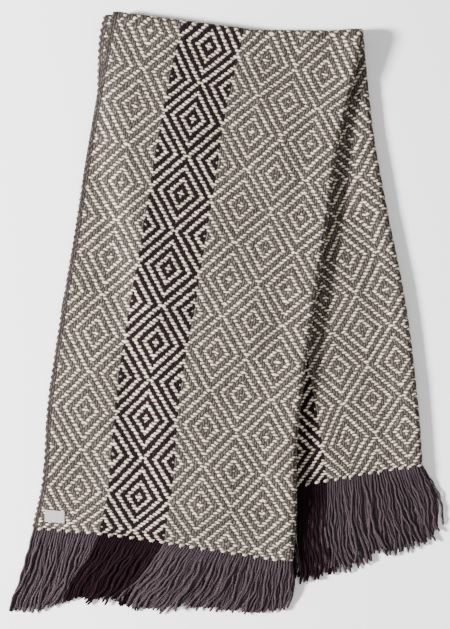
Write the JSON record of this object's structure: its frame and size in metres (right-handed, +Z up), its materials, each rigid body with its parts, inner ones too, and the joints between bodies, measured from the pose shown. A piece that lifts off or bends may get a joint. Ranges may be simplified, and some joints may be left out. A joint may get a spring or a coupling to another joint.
{
  "type": "wool blanket",
  "caption": "Handwoven wool blanket with a diamond twill pattern and dark stripes, folded lengthwise and across, its fringed ends spread on the surface.",
  "frame": {"origin": "middle of the folded blanket's outline, on the surface that it lies on", "axes": "+Z up out of the surface, +Y towards the fold across, fringes towards -Y, lengthwise fold towards +X"},
  "size_m": [0.8043, 1.171, 0.0435],
  "materials": {
    "cloth": "matt, handspun wool in diamond twill",
    "fringe": "matt, loose plied wool yarn",
    "label": "smooth woven tape"
  },
  "bodies": {
    "root": {"cloth": "cloth", "fringe_front": "fringe", "fringe_back": "fringe", "label": "label"}
  },
  "joints": []
}
